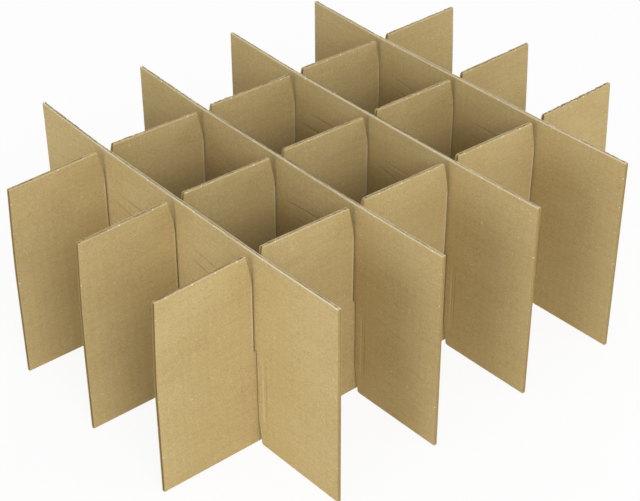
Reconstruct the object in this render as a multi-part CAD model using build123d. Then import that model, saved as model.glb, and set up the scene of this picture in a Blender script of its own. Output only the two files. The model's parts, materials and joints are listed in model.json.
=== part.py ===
from build123d import *
import math
import os

# Cell divider for a bottle carton: a loose lattice of seven slotted strips of
# single wall corrugated board, standing on its lower edges.
# X runs along the short strips, Y along the long strips and Z is up.
# The origin is at the centre of the footprint, on the surface it stands on.

# Lattice, in millimetres
LONG_STRIP_PITCH = 80.0        # between the long strips, along X
SHORT_STRIP_PITCH = 82.5       # between the short strips, along Y
SHORT_STRIP_TAB = 79.0         # short strip beyond the outer long strip's middle
LONG_STRIP_TAB = 76.25         # long strip beyond the outer short strip's middle
STRIP_HEIGHT = 150.0

# Board: two flat liners glued to a fluted middle sheet, flutes upright
BOARD_THICKNESS = 2.7
LINER_THICKNESS = 0.3
FLUTE_SHEET_THICKNESS = 0.25
FLUTE_PITCH = 6.5
FLANK_ANGLE = 48.0             # slope of the fluted sheet between its crests
CREST_RADIUS = 1.2             # inside radius of the fluted sheet at a crest

# Half-lap slots
SLOT_CLEARANCE = 2.8           # slot width over the board that it takes
SLOT_END_GAP = 0.3             # between the closed ends of two crossing slots
LONG_STRIP_FLARE = 4.5         # each side of a long strip's slot opens by this
SHORT_STRIP_FLARE = 3.0        # each side of a short strip's slot opens by this
FLARE_LENGTH = 21.0            # of the slot's edge over which it opens
FLARE_BLEND_RADIUS = 45.0      # where the flare leaves the straight edge
MOUTH_RADIUS = 1.5             # corner of a slot's mouth
CUT_MARGIN = 2.0               # how far a cutting tool reaches past the board

# Strips, each list in the order of its row
LONG_STRIP_NAMES = ["long_strip_back", "long_strip_middle", "long_strip_front"]
SHORT_STRIP_NAMES = [
    "short_strip_left",
    "short_strip_mid_left",
    "short_strip_mid_right",
    "short_strip_right",
]


def places(count, pitch):
    """Middles of a row of like things, centred on zero."""
    return [(index - (count - 1) / 2) * pitch for index in range(count)]


def flute_void():
    """One channel between the fluted sheet and a liner, its wide side at Y = 0."""
    core = BOARD_THICKNESS - 2 * LINER_THICKNESS
    depth = core - FLUTE_SHEET_THICKNESS
    run = 1 / math.tan(math.radians(FLANK_ANGLE))
    flank_wall = FLUTE_SHEET_THICKNESS / math.sin(math.radians(FLANK_ANGLE))
    narrow = FLUTE_PITCH / 2 - run * (core - 2 * FLUTE_SHEET_THICKNESS) - flank_wall
    wide = narrow + 2 * run * depth
    corner_room = narrow / 2 / math.tan(math.radians(FLANK_ANGLE / 2))
    outline = Polygon(
        (-wide / 2, 0),
        (wide / 2, 0),
        (narrow / 2, -depth),
        (-narrow / 2, -depth),
        align=None,
    )
    crest_corners = outline.vertices().group_by(Axis.Y)[0]
    return fillet(crest_corners, min(CREST_RADIUS, 0.9 * corner_room))


def board(length):
    """A plain strip of board along X, standing on Z = 0, before its slots."""
    inner_face = BOARD_THICKNESS / 2 - LINER_THICKNESS
    section = Rectangle(length, BOARD_THICKNESS)
    void = flute_void()
    half_count = math.ceil(length / FLUTE_PITCH / 2) + 1
    voids = []
    for index in range(-half_count, half_count + 1):
        upper = Pos(index * FLUTE_PITCH, inner_face) * void
        lower = Pos((index + 0.5) * FLUTE_PITCH, -inner_face) * Rot(0, 0, 180) * void
        voids += [upper, lower]
    section -= voids
    return extrude(section, STRIP_HEIGHT)


def slot_cutter(flare):
    """A slot in the XZ plane, its mouth up at Z = 0, with flared and rounded edges."""
    half_width = (BOARD_THICKNESS + SLOT_CLEARANCE) / 2
    depth = STRIP_HEIGHT / 2 + SLOT_END_GAP / 2
    mouth = half_width + flare
    brim = mouth + MOUTH_RADIUS + CUT_MARGIN
    outline = Polygon(
        (-half_width, -depth),
        (half_width, -depth),
        (half_width, -FLARE_LENGTH),
        (mouth, 0),
        (brim, 0),
        (brim, CUT_MARGIN),
        (-brim, CUT_MARGIN),
        (-brim, 0),
        (-mouth, 0),
        (-half_width, -FLARE_LENGTH),
        align=None,
    )
    mouth_corners = outline.vertices().filter_by(lambda v: abs(v.Y) < 0.01 and abs(v.X) < brim - 0.01)
    outline = fillet(mouth_corners, MOUTH_RADIUS)
    bend_corners = outline.vertices().filter_by(lambda v: abs(v.Y + FLARE_LENGTH) < 0.01)
    outline = fillet(bend_corners, FLARE_BLEND_RADIUS)
    reach = BOARD_THICKNESS / 2 + CUT_MARGIN
    return extrude(Plane.XZ * outline, reach, both=True)


def slotted_strip(length, slot_places, flare, mouth_up):
    """A strip along X with a slot at each place, open at its top or bottom edge."""
    cutter = slot_cutter(flare)
    if mouth_up:
        cutter = Pos(0, 0, STRIP_HEIGHT) * cutter
    else:
        cutter = Rot(180, 0, 0) * cutter
    return board(length) - [Pos(place, 0, 0) * cutter for place in slot_places]


def save(node, shape):
    """Write one strip as its own file, after checking that it is one solid."""
    solids = shape.solids()
    if len(solids) != 1:
        raise ValueError(f"{node} came out as {len(solids)} solids")
    solids[0].label = node
    export_step(solids[0], f"parts/{node}.step")
    print(node, round(solids[0].volume, 1))


os.makedirs("parts", exist_ok=True)

long_strip_places = places(len(LONG_STRIP_NAMES), LONG_STRIP_PITCH)
short_strip_places = places(len(SHORT_STRIP_NAMES), SHORT_STRIP_PITCH)
short_strip_length = 2 * (long_strip_places[-1] + SHORT_STRIP_TAB)
long_strip_length = 2 * (short_strip_places[-1] + LONG_STRIP_TAB)

# The short strips hang over the long ones: their slots are open at the bottom
short_strip = slotted_strip(short_strip_length, long_strip_places, SHORT_STRIP_FLARE, mouth_up=False)
for node, place in zip(SHORT_STRIP_NAMES, short_strip_places):
    save(node, Pos(0, place, 0) * short_strip)

# The long strips take them in slots that are open at the top
long_strip = slotted_strip(long_strip_length, short_strip_places, LONG_STRIP_FLARE, mouth_up=True)
for node, place in zip(LONG_STRIP_NAMES, long_strip_places):
    save(node, Pos(place, 0, 0) * Rot(0, 0, 90) * long_strip)
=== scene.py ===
import json
import math
import random

import bmesh
import bpy
from mathutils import Matrix, Vector

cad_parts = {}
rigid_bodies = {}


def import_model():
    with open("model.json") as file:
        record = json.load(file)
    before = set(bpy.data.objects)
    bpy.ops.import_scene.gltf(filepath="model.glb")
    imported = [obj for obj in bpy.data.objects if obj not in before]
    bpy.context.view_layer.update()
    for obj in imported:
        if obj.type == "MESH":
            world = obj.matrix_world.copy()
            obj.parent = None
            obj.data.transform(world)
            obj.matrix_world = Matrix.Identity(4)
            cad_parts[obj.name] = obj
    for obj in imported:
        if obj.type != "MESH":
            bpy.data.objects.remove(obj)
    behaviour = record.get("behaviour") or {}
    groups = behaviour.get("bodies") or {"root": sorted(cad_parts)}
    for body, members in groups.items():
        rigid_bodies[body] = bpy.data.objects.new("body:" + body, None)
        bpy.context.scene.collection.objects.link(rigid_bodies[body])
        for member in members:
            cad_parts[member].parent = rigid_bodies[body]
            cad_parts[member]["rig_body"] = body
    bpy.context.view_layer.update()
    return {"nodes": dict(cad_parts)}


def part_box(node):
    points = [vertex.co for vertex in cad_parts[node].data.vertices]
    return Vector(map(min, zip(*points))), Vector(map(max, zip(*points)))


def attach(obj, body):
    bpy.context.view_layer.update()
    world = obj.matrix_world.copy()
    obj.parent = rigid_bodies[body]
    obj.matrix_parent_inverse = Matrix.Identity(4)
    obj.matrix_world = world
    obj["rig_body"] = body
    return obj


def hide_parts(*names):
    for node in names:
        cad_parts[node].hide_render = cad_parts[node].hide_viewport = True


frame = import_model()


# Camera. The divider is seen from above its front right corner, with a long lens
# that keeps the strips' uprights nearly parallel.
CAMERA_TARGET = Vector((0.0222, -0.0222, 0.0750))
CAMERA_DISTANCE = 1.108
CAMERA_AZIMUTH = math.radians(-39.95)
CAMERA_ELEVATION = math.radians(34.38)
CAMERA_ROLL = math.radians(-0.26)
CAMERA_LENS = 91.0

camera_data = bpy.data.cameras.new("camera")
camera_data.lens = CAMERA_LENS
camera_data.sensor_width = 36.0
camera_data.clip_start = 0.05
camera_data.clip_end = 50.0
camera = bpy.data.objects.new("camera", camera_data)
bpy.context.scene.collection.objects.link(camera)
outward = Vector((
    math.cos(CAMERA_ELEVATION) * math.cos(CAMERA_AZIMUTH),
    math.cos(CAMERA_ELEVATION) * math.sin(CAMERA_AZIMUTH),
    math.sin(CAMERA_ELEVATION),
))
upright = outward.to_track_quat("Z", "Y").to_matrix().to_4x4()
place = Matrix.Translation(CAMERA_TARGET + CAMERA_DISTANCE * outward)
camera.matrix_world = place @ upright @ Matrix.Rotation(CAMERA_ROLL, 4, "Z")
bpy.context.scene.camera = camera
bpy.context.scene.view_settings.view_transform = "Standard"


# Floor. A plain white sheet under the divider, wide enough for every view. Seen
# straight it glows a little, so that it stays white round a soft shadow.
FLOOR_SIZE = 12.0
FLOOR_GLOW = 0.90
FLOOR_WHITE = (0.92, 0.92, 0.92, 1)


def new_material(name):
    """A material with nodes, its tree, and its Principled shader."""
    material = bpy.data.materials.new(name)
    material.use_nodes = True
    tree = material.node_tree
    return material, tree, tree.nodes["Principled BSDF"]


def add(tree, kind, inputs=(), **settings):
    """A node of that kind. An input is a value, or the output that feeds it."""
    node = tree.nodes.new(kind)
    for key, value in settings.items():
        setattr(node, key, value)
    for key, value in dict(inputs).items():
        if isinstance(value, bpy.types.NodeSocket):
            tree.links.new(value, node.inputs[key])
        else:
            node.inputs[key].default_value = value
    return node


sheet = bmesh.new()
bmesh.ops.create_grid(sheet, x_segments=1, y_segments=1, size=FLOOR_SIZE / 2)
floor = bpy.data.objects.new("floor", bpy.data.meshes.new("floor"))
sheet.to_mesh(floor.data)
sheet.free()
bpy.context.scene.collection.objects.link(floor)
floor_white, tree, shader = new_material("floor_white")
shader.inputs["Base Color"].default_value = FLOOR_WHITE
shader.inputs["Roughness"].default_value = 0.9
shader.inputs["Specular IOR Level"].default_value = 0.1
glow = add(tree, "ShaderNodeEmission", {"Color": (1, 1, 1, 1), "Strength": 1.0})
seen = add(tree, "ShaderNodeLightPath")
shares = {0: seen.outputs["Is Camera Ray"], 1: FLOOR_GLOW}
share = add(tree, "ShaderNodeMath", shares, operation="MULTIPLY")
blend = add(tree, "ShaderNodeMixShader", {0: share.outputs[0], 1: shader.outputs[0], 2: glow.outputs[0]})
tree.links.new(blend.outputs[0], tree.nodes["Material Output"].inputs["Surface"])
floor.data.materials.append(floor_white)


# Light. A wide soft lamp over the camera's shoulder, weaker ones on the other three
# sides, and an even white sky that fills the cells as a studio tent does.
SKY_LEVEL = 0.50
LAMP_AIM = Vector((0, 0, 0.08))


def soft_lamp(name, spot, size, power):
    """A square lamp that faces the divider's middle."""
    data = bpy.data.lights.new(name, "AREA")
    data.size = size
    data.energy = power
    lamp = bpy.data.objects.new(name, data)
    bpy.context.scene.collection.objects.link(lamp)
    aim = (Vector(spot) - LAMP_AIM).to_track_quat("Z", "Y")
    lamp.matrix_world = Matrix.Translation(spot) @ aim.to_matrix().to_4x4()


soft_lamp("key_lamp", (2.2, -1.0, 1.8), 1.4, 43.0)
soft_lamp("left_lamp", (0.6, -2.8, 0.9), 1.4, 24.0)
soft_lamp("right_lamp", (2.0, 1.7, 1.1), 1.0, 9.0)
soft_lamp("back_lamp", (-1.9, 2.0, 1.4), 1.4, 16.0)

world = bpy.data.worlds.new("studio")
world.use_nodes = True
bpy.context.scene.world = world
sky = world.node_tree.nodes["Background"]
sky.inputs["Color"].default_value = (1, 1, 1, 1)
seen = add(world.node_tree, "ShaderNodeLightPath")
levels = {"Value": seen.outputs["Is Camera Ray"], "To Min": SKY_LEVEL, "To Max": 1.0}
level = add(world.node_tree, "ShaderNodeMapRange", levels)
world.node_tree.links.new(level.outputs["Result"], sky.inputs["Strength"])


# Board. Brown single wall board: two kraft liners, mottled and finely flecked with
# pale and dark fibres, over a fluted sheet whose ribs show faintly as upright
# stripes. Torn paper is paler, and the same pale colour paints highlights beside the
# slots and on crush lines, and painted light on the flute walls at the cuts. A painted
# shade darkens crush lines and the cut ends.
KRAFT = (0.500, 0.378, 0.172, 1)
KRAFT_PALE = (0.600, 0.482, 0.250, 1)
KRAFT_DARK = (0.330, 0.232, 0.088, 1)
FLECK_PALE = (0.740, 0.660, 0.440, 1)
FLECK_DARK = (0.150, 0.105, 0.045, 1)
# Pale torn paper, also the colour of the painted highlights and of the painted light on the flute walls.
TORN_PAPER_AND_HIGHLIGHT = (0.690, 0.610, 0.420, 1)
NICK_PAPER = (0.930, 0.900, 0.760, 1)
FLUTE_PITCH = 0.0065
STREAK_STRETCH = (0.12, 0.12, 1)
FLECK_TURN = (0.3, 0.2, 0.4)
FLECK_STRETCH = (1, 1, 0.5)
RIB_SHARE = 0.05
BUMP_HEIGHT = 0.0002


def blend_colour(tree, share, under, over):
    """A colour between two, by a share from 0 to 1."""
    return add(tree, "ShaderNodeMix", {0: share, 6: under, 7: over}, data_type="RGBA").outputs[2]


def speckle(tree, spot, scale, low, high, most, **noise):
    """Spots of a noise, from none where it is under low to most where it is over high."""
    values = {"Vector": spot, "Scale": scale, "Detail": 2.0}
    grain = add(tree, "ShaderNodeTexNoise", dict(values, **noise))
    spots = {"Value": grain.outputs["Fac"], "From Min": low, "From Max": high, "To Max": most}
    return add(tree, "ShaderNodeMapRange", spots).outputs["Result"]


def kraft_board(name, along):
    """Brown board that runs along the X or Y axis, with its flutes upright."""
    material, tree, shader = new_material(name)
    where = add(tree, "ShaderNodeTexCoord")
    spot = where.outputs["Object"]
    axes = add(tree, "ShaderNodeSeparateXYZ", {0: spot})

    clouds = speckle(tree, spot, scale=26.0, low=0.38, high=0.66, most=0.30, Detail=4.0)
    level = add(tree, "ShaderNodeMapping", {"Vector": spot, "Scale": STREAK_STRETCH})
    streaks = speckle(tree, level.outputs[0], scale=330.0, low=0.46, high=0.66, most=0.14, Detail=3.0)
    mottle = speckle(tree, spot, scale=520.0, low=0.42, high=0.66, most=0.28, Detail=3.0)
    grain = speckle(tree, spot, scale=1300.0, low=0.46, high=0.68, most=0.52)
    paper = blend_colour(tree, clouds, KRAFT, KRAFT_PALE)
    paper = blend_colour(tree, streaks, paper, KRAFT_DARK)
    paper = blend_colour(tree, mottle, paper, KRAFT_PALE)
    paper = blend_colour(tree, grain, paper, KRAFT_DARK)
    turned = {"Vector": spot, "Rotation": FLECK_TURN, "Scale": FLECK_STRETCH}
    laid = add(tree, "ShaderNodeMapping", turned)
    pale = speckle(tree, laid.outputs[0], scale=950.0, low=0.69, high=0.73, most=0.60, Distortion=0.8)
    dark = speckle(tree, laid.outputs[0], scale=760.0, low=0.73, high=0.77, most=0.55, Distortion=0.6)
    paper = blend_colour(tree, pale, paper, FLECK_PALE)
    paper = blend_colour(tree, dark, paper, FLECK_DARK)

    phase = {0: axes.outputs[along], 1: 2 * math.pi / FLUTE_PITCH}
    turn = add(tree, "ShaderNodeMath", phase, operation="MULTIPLY")
    wave = add(tree, "ShaderNodeMath", {0: turn.outputs[0]}, operation="COSINE")
    rib = {"Value": wave.outputs[0], "From Min": -1.0, "To Min": 0.0, "To Max": RIB_SHARE}
    stripe = add(tree, "ShaderNodeMapRange", rib)
    paper = blend_colour(tree, stripe.outputs["Result"], paper, KRAFT_DARK)

    # Painted shade: the cut ends and the crush lines darkened where shade falls on them.
    painted_shade = add(tree, "ShaderNodeAttribute", attribute_name="painted_shade")
    paper = blend_colour(tree, painted_shade.outputs["Fac"], paper, KRAFT_DARK)
    # Torn paper at the cuts, plus painted highlights beside the slots and on crush lines, and painted light
    # on the shaded flute walls.
    torn_and_highlight = add(tree, "ShaderNodeAttribute", attribute_name="torn_and_highlight")
    paper = blend_colour(tree, torn_and_highlight.outputs["Fac"], paper, TORN_PAPER_AND_HIGHLIGHT)
    past_torn = {0: torn_and_highlight.outputs["Fac"], 1: 1.0}
    nick = add(tree, "ShaderNodeMath", past_torn, operation="SUBTRACT", use_clamp=True)
    paper = blend_colour(tree, nick.outputs[0], paper, NICK_PAPER)
    tree.links.new(paper, shader.inputs["Base Color"])

    shader.inputs["Roughness"].default_value = 0.85
    shader.inputs["Specular IOR Level"].default_value = 0.2
    rough = add(tree, "ShaderNodeBump", {"Height": grain, "Strength": 0.3, "Distance": BUMP_HEIGHT})
    ribs = {"Height": wave.outputs[0], "Strength": 0.1, "Distance": BUMP_HEIGHT, "Normal": rough.outputs[0]}
    tree.links.new(add(tree, "ShaderNodeBump", ribs).outputs[0], shader.inputs["Normal"])
    return material


# Long strips. Three die-cut strips, slotted from the top edge. Each starts as a copy
# of its solid, with true flutes inside, and gets what cutting and handling gave it:
# pressed and ragged cuts, torn nicks where the blank was held, and bent teeth. Its cut
# ends get a painted shade, and a painted highlight runs beside its slots.
SAME_PLACE = 1e-6
HAIR = 1e-5
LONG_SLOT_PITCH = 0.0825
LONG_SLOTS = 4
SLOT_HALF_WIDTH = 0.00275
SLOT_FLARE_LENGTH = 0.024
LINER = 0.0003
CUT_BAND = 0.0011
CUT_THINNING = 0.34
END_BAND = 0.0008
END_THINNING = 0.12
# How dark the painted shade down the strips' cut ends is.
END_PAINTED_SHADE = 0.75
BITE_PITCH = 0.0014
BITE_WAVES = (0.0019, 0.0047, 0.00071)
BITE_MIDDLE = 0.42
BITE_COARSE = 0.45
BITE_FINE = 0.30
LONG_BITE = 0.0008
# Pale at the top and bottom cuts: torn paper, and painted light on the flute walls there.
LONG_TORN_AND_LIGHT_SHARE = 0.30
LONG_PINCH = 0.60
# A painted highlight in a band beside the slots' cuts, and how strong it is.
SLOT_HIGHLIGHT_BAND = 0.0017
SLOT_HIGHLIGHT_SHARE = 0.45
TOOTH_TWIST = math.radians(1.3)
FRONT_TAB_LEAN = 0.0050
BACK_TAB_LEAN = 0.0036
BEND_SHARES = (0.0, 0.12, 0.3, 0.55)
BEND_POWER = 1.4
NICK_SPACING = (0.008, 0.021)
NICK_HEIGHTS = (0.030, 0.072, 0.114, 0.139)
NICK_SHIFT = 0.003
NICK_CHANCE = 0.75
NICK_CLEARANCE = 3.5 * SLOT_HALF_WIDTH
NICK_SIZE = 0.0007
NICK_SIZES = (0.6, 1.2)
NICK_RAGGED = (0.6, 1.1)
NICK_FLATNESS = 0.5
NICK_SUNK = 1.15
NICK_TORN = 1.5


class Strip:
    """One strip as a mesh to be worked: where it runs, its slots and its marks."""

    def __init__(self, node, run, slot_pitch, slot_count):
        self.node = node
        self.run = run
        self.across = 1 - run
        low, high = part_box(node)
        self.start, self.end = low[run], high[run]
        self.middle = (low[self.across] + high[self.across]) / 2
        self.half_thickness = (high[self.across] - low[self.across]) / 2
        self.height = high.z
        self.slots = [(index - (slot_count - 1) / 2) * slot_pitch for index in range(slot_count)]
        self.work = bmesh.new()
        self.work.from_mesh(frame["nodes"][node].data)
        bmesh.ops.remove_doubles(self.work, verts=self.work.verts, dist=SAME_PLACE)
        self.torn_and_highlight = self.work.verts.layers.float.new("torn_and_highlight")
        self.painted_shade = self.work.verts.layers.float.new("painted_shade")

    def point(self, along, out, z):
        """A point from its place along the strip, out from its middle, and up."""
        spot = Vector((0, 0, z))
        spot[self.run] = along
        spot[self.across] = self.middle + out
        return spot

    def out(self, vert):
        """How far a point lies from the strip's middle plane."""
        return vert.co[self.across] - self.middle

    def cut(self, spot, normal, faces=None):
        """Cuts the mesh, or some of its faces, where a plane crosses it."""
        chosen = list(self.work.faces) if faces is None else faces
        edges = list(dict.fromkeys(edge for face in chosen for edge in face.edges))
        verts = list(dict.fromkeys(vert for edge in edges for vert in edge.verts))
        geometry = chosen + edges + verts
        bmesh.ops.bisect_plane(self.work, geom=geometry, dist=1e-7, plane_co=spot, plane_no=normal)

    def cut_level(self, z):
        """Cuts the whole mesh at a height."""
        self.cut(Vector((0, 0, z)), Vector((0, 0, 1)))

    def cut_across(self, along):
        """Cuts the whole mesh at a place along the strip."""
        normal = Vector((0, 0, 0))
        normal[self.run] = 1
        self.cut(self.point(along, 0, 0), normal)


def press_cuts(strip, share, pinch):
    """The board pressed thin at its cuts, its flutes pinched, with pale torn paper there that is also
    painted light on the shaded flute walls, and a painted shade on its cut ends.
    """
    strip.cut_level(CUT_BAND)
    strip.cut_level(strip.height - CUT_BAND)
    strip.cut_across(strip.start + END_BAND)
    strip.cut_across(strip.end - END_BAND)
    for vert in strip.work.verts:
        depth = min(vert.co.z, strip.height - vert.co.z)
        reach = min(vert.co[strip.run] - strip.start, strip.end - vert.co[strip.run])
        near = max(0.0, 1 - depth / CUT_BAND)
        near_end = max(0.0, 1 - reach / END_BAND)
        inside = abs(strip.out(vert)) < strip.half_thickness - LINER / 2
        thinning = (pinch if inside else CUT_THINNING) * near
        vert.co[strip.across] -= strip.out(vert) * max(thinning, END_THINNING * near_end)
        # Pale torn paper in the cut bands, which on the flute walls is painted light against their shade.
        vert[strip.torn_and_highlight] = share * near
        # A painted shade down the cut ends, where the edge lies in shadow.
        vert[strip.painted_shade] = END_PAINTED_SHADE * near_end


def scallop(along, seed):
    """The depth of a ragged bite at a place along a cut, from 0 to 1."""
    short, long, tiny = BITE_WAVES
    coarse = math.sin(along / short + 3.1 * seed) * math.sin(along / long + seed)
    fine = math.sin(along / tiny + 1.7 * seed)
    return min(1.0, max(0.0, BITE_MIDDLE + BITE_COARSE * coarse + BITE_FINE * fine))


def roughen_top(strip, bite, seed):
    """Bites all along the rims of the top cut, as deep as the die's teeth left them."""
    strip.work.normal_update()
    by_cuts = {}
    for edge in strip.work.edges:
        at_top = all(strip.height - vert.co.z < SAME_PLACE for vert in edge.verts)
        rims = [face for face in edge.link_faces if face.normal.z > 0.9]
        cuts = int(edge.calc_length() / BITE_PITCH)
        if at_top and len(rims) == 1 and cuts:
            by_cuts.setdefault(cuts, []).append(edge)
    for cuts, edges in by_cuts.items():
        bmesh.ops.subdivide_edges(strip.work, edges=edges, cuts=cuts)
    for vert in strip.work.verts:
        if strip.height - vert.co.z < SAME_PLACE:
            side = 1 if strip.out(vert) > 0 else 2
            vert.co.z -= bite * scallop(vert.co[strip.run], seed + side)


def add_nick(strip, along, out, z, stands, chance):
    """A tuft of torn paper on a liner's cut edge."""
    size = NICK_SIZE * chance.uniform(*NICK_SIZES)
    tuft = bmesh.ops.create_icosphere(strip.work, subdivisions=1, radius=size)["verts"]
    for vert in tuft:
        vert.co *= chance.uniform(*NICK_RAGGED)
        vert.co[strip.across] *= NICK_FLATNESS
        vert[strip.torn_and_highlight] = NICK_TORN
    sunk = strip.point(along, out, z) - NICK_SUNK * size * stands
    bmesh.ops.translate(strip.work, verts=tuft, vec=sunk)


def add_nicks(strip, seed):
    """Nicks along the top cut, on one liner or both, and on both ends."""
    chance = random.Random(seed)
    rim = strip.half_thickness - LINER
    face = strip.half_thickness - LINER / 2
    up = Vector((0, 0, 1))
    along = strip.start + chance.uniform(*NICK_SPACING)
    while along < strip.end - NICK_SHIFT - NICK_SIZE:
        if min(abs(along - slot) for slot in strip.slots) > NICK_CLEARANCE:
            for side in (-rim, rim):
                shift = chance.uniform(-NICK_SHIFT, NICK_SHIFT)
                if chance.random() < NICK_CHANCE:
                    add_nick(strip, along + shift, side, strip.height, up, chance)
        along += chance.uniform(*NICK_SPACING)
    for end in (strip.start, strip.end):
        outward = Vector((0, 0, 0))
        outward[strip.run] = math.copysign(1, end)
        for z in NICK_HEIGHTS:
            for side in (-face, face):
                shift = chance.uniform(-NICK_SHIFT, NICK_SHIFT)
                if chance.random() < NICK_CHANCE:
                    add_nick(strip, end, side, z + shift, outward, chance)


def finish_strip(strip, material):
    """The worked mesh as a piece, in place of its CAD node."""
    bmesh.ops.triangulate(strip.work, faces=strip.work.faces)
    mesh = bpy.data.meshes.new(strip.node + "_board")
    strip.work.to_mesh(mesh)
    strip.work.free()
    mesh.materials.append(material)
    piece = bpy.data.objects.new(strip.node + "_board", mesh)
    bpy.context.scene.collection.objects.link(piece)
    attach(piece, frame["nodes"][strip.node]["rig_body"])
    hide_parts(strip.node)


def paint_slot_highlights(strip):
    """A painted highlight beside the slots' cuts, below their flared mouths, where the bent edges catch the
    light.
    """
    for slot in strip.slots:
        for side in (-1, 1):
            strip.cut_across(slot + side * (SLOT_HALF_WIDTH + SLOT_HIGHLIGHT_BAND))
    for vert in strip.work.verts:
        nearest = min(abs(vert.co[strip.run] - slot) for slot in strip.slots)
        beside = nearest < SLOT_HALF_WIDTH + 2 * HAIR
        if beside and strip.height / 2 < vert.co.z < strip.height - SLOT_FLARE_LENGTH:
            # Painted highlight on the slot edge.
            vert[strip.torn_and_highlight] = SLOT_HIGHLIGHT_SHARE


def bend_teeth(strip):
    """The teeth between the slots twisted, and the tabs leant over at their ends."""
    ends = [strip.start] + strip.slots + [strip.end]
    for vert in strip.work.verts:
        along = vert.co[strip.run]
        number = sum(1 for slot in strip.slots if along > slot)
        low, high = ends[number], ends[number + 1]
        push = math.tan(TOOTH_TWIST) * (along - (low + high) / 2)
        if number == 0:
            push += FRONT_TAB_LEAN * (high - along) / (high - low)
        if number == len(strip.slots):
            push -= BACK_TAB_LEAN * (along - low) / (high - low)
        rise = max(0.0, 2 * vert.co.z / strip.height - 1)
        vert.co[strip.across] += push * rise ** BEND_POWER


long_board = kraft_board("kraft_board_long", "Y")
long_nodes = sorted(node for node in frame["nodes"] if node.startswith("long"))
for seed, node in enumerate(long_nodes):
    strip = Strip(node, 1, LONG_SLOT_PITCH, LONG_SLOTS)
    for share in BEND_SHARES:
        strip.cut_level(strip.height * (1 + share) / 2)
    press_cuts(strip, LONG_TORN_AND_LIGHT_SHARE, LONG_PINCH)
    paint_slot_highlights(strip)
    roughen_top(strip, LONG_BITE, seed)
    add_nicks(strip, seed)
    bend_teeth(strip)
    finish_strip(strip, long_board)


# Short strips. Four strips of the same board, slotted from the bottom edge, that
# hang over the long ones. Their top cuts are cleaner and paler, torn paper with painted
# light on the flute walls, their end tabs are bent, and crush lines run along them in
# the cells and down beside the slots, drawn with painted shade and painted highlight.
SHORT_SLOT_PITCH = 0.080
SHORT_SLOTS = 3
SHORT_BITE = 0.0004
# Pale at the top and bottom cuts: torn paper, and painted light on the flute walls there.
SHORT_TORN_AND_LIGHT_SHARE = 0.9
SHORT_PINCH = 0.70
LEFT_TAB_BEND = math.radians(2.3)
RIGHT_TAB_BEND = math.radians(1.4)
TAB_BLEND = 0.010
TAB_CUTS = 4
CREASE_HALF_WIDTH = 0.0012
CREASE_DEPTH = 0.00022
CREASE_STEP = 0.006
# How dark the painted shade along the level crush lines is.
CREASE_SHADE_SHARE = 0.75
LINE_HEIGHTS = (0.81, 0.745)
LINE_START_GAP = (0.006, 0.020)
LINE_START_RISE = (-0.02, 0.02)
LINE_END_GAP = (0.006, 0.030)
LINE_END_RISE = (-0.05, 0.01)
LINE_SHARES = (0.4, 1.0)
FOLD_HEIGHTS = (0.014, 0.070)
# Upright crush lines beside each slot, as (gap, share): a negative share is a painted highlight, a positive
# one painted shade.
FOLD_MARKS = ((0.0085, -0.35), (0.0110, 0.45))


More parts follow.
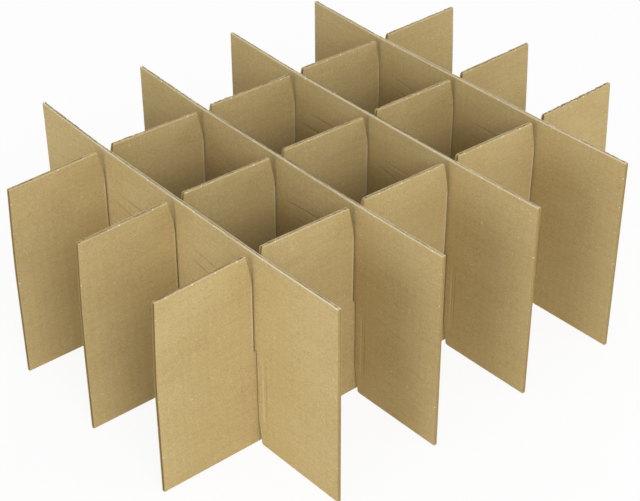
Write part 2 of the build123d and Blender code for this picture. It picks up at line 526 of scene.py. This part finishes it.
def crease(strip, side, first, last, share):
    """A shallow crush line on one liner, between two places given as (along, z), with painted shade along
    it for a positive share and a painted highlight for a negative one.
    """
    start = strip.point(first[0], side * strip.half_thickness, first[1])
    end = strip.point(last[0], side * strip.half_thickness, last[1])
    way = (end - start).normalized()
    length = (end - start).length
    outward = strip.point(0, side, 0) - strip.point(0, 0, 0)
    aside = way.cross(outward)

    def faces_within(reach):
        return [
            face for face in strip.work.faces
            if all(
                abs(vert.co[strip.across] - start[strip.across]) < SAME_PLACE
                and abs((vert.co - start).dot(aside)) < reach
                for vert in face.verts
            )
        ]

    for offset in (-CREASE_HALF_WIDTH, 0, CREASE_HALF_WIDTH):
        strip.cut(start + offset * aside, aside, faces_within(1.0))
    steps = max(2, round(length / CREASE_STEP))
    for step in range(steps + 1):
        strip.cut(start + way * length * step / steps, way, faces_within(CREASE_HALF_WIDTH + HAIR))
    for vert in strip.work.verts:
        offset = vert.co - start
        on_line = abs(offset.dot(aside)) < SAME_PLACE and abs(offset.dot(outward)) < SAME_PLACE
        run = offset.dot(way) / length
        if on_line and 0 < run < 1:
            fade = math.sin(math.pi * run) ** 0.5
            vert.co -= outward * CREASE_DEPTH * fade
            # Painted shade along the crease, or with a negative share a painted highlight.
            vert[strip.painted_shade] = max(0.0, share) * fade
            vert[strip.torn_and_highlight] = max(0.0, -share) * fade


def crush_lines(strip, seed):
    """Two level lines in each inner cell, and an upright pair beside each slot."""
    chance = random.Random(seed)
    for low, high in zip(strip.slots, strip.slots[1:]):
        for height in LINE_HEIGHTS:
            first_along = low + chance.uniform(*LINE_START_GAP)
            first = (first_along, strip.height * (height + chance.uniform(*LINE_START_RISE)))
            last_along = high - chance.uniform(*LINE_END_GAP)
            last = (last_along, strip.height * (height + chance.uniform(*LINE_END_RISE)))
            for side in (-1, 1):
                crease(strip, side, first, last, CREASE_SHADE_SHARE * chance.uniform(*LINE_SHARES))
    for slot in strip.slots:
        for gap, share in FOLD_MARKS:
            low, high = FOLD_HEIGHTS
            crease(strip, -1, (slot + gap, low), (slot + gap, high), share)


def bend_tabs(strip):
    """The tabs beyond the outer slots bent back."""
    for vert in strip.work.verts:
        along = vert.co[strip.run]
        beyond = max(0.0, abs(along) - strip.slots[-1])
        slope = math.tan(LEFT_TAB_BEND if along < 0 else RIGHT_TAB_BEND)
        vert.co[strip.across] += slope * beyond * beyond / (beyond + TAB_BLEND)


short_board = kraft_board("kraft_board_short", "X")
short_nodes = sorted(node for node in frame["nodes"] if node.startswith("short"))
for seed, node in enumerate(short_nodes, len(long_nodes)):
    strip = Strip(node, 0, SHORT_SLOT_PITCH, SHORT_SLOTS)
    for step in range(TAB_CUTS):
        for side in (-1, 1):
            strip.cut_across(side * (strip.slots[-1] + step * TAB_BLEND / (TAB_CUTS - 1)))
    press_cuts(strip, SHORT_TORN_AND_LIGHT_SHARE, SHORT_PINCH)
    crush_lines(strip, seed)
    roughen_top(strip, SHORT_BITE, seed)
    add_nicks(strip, seed)
    bend_tabs(strip)
    finish_strip(strip, short_board)
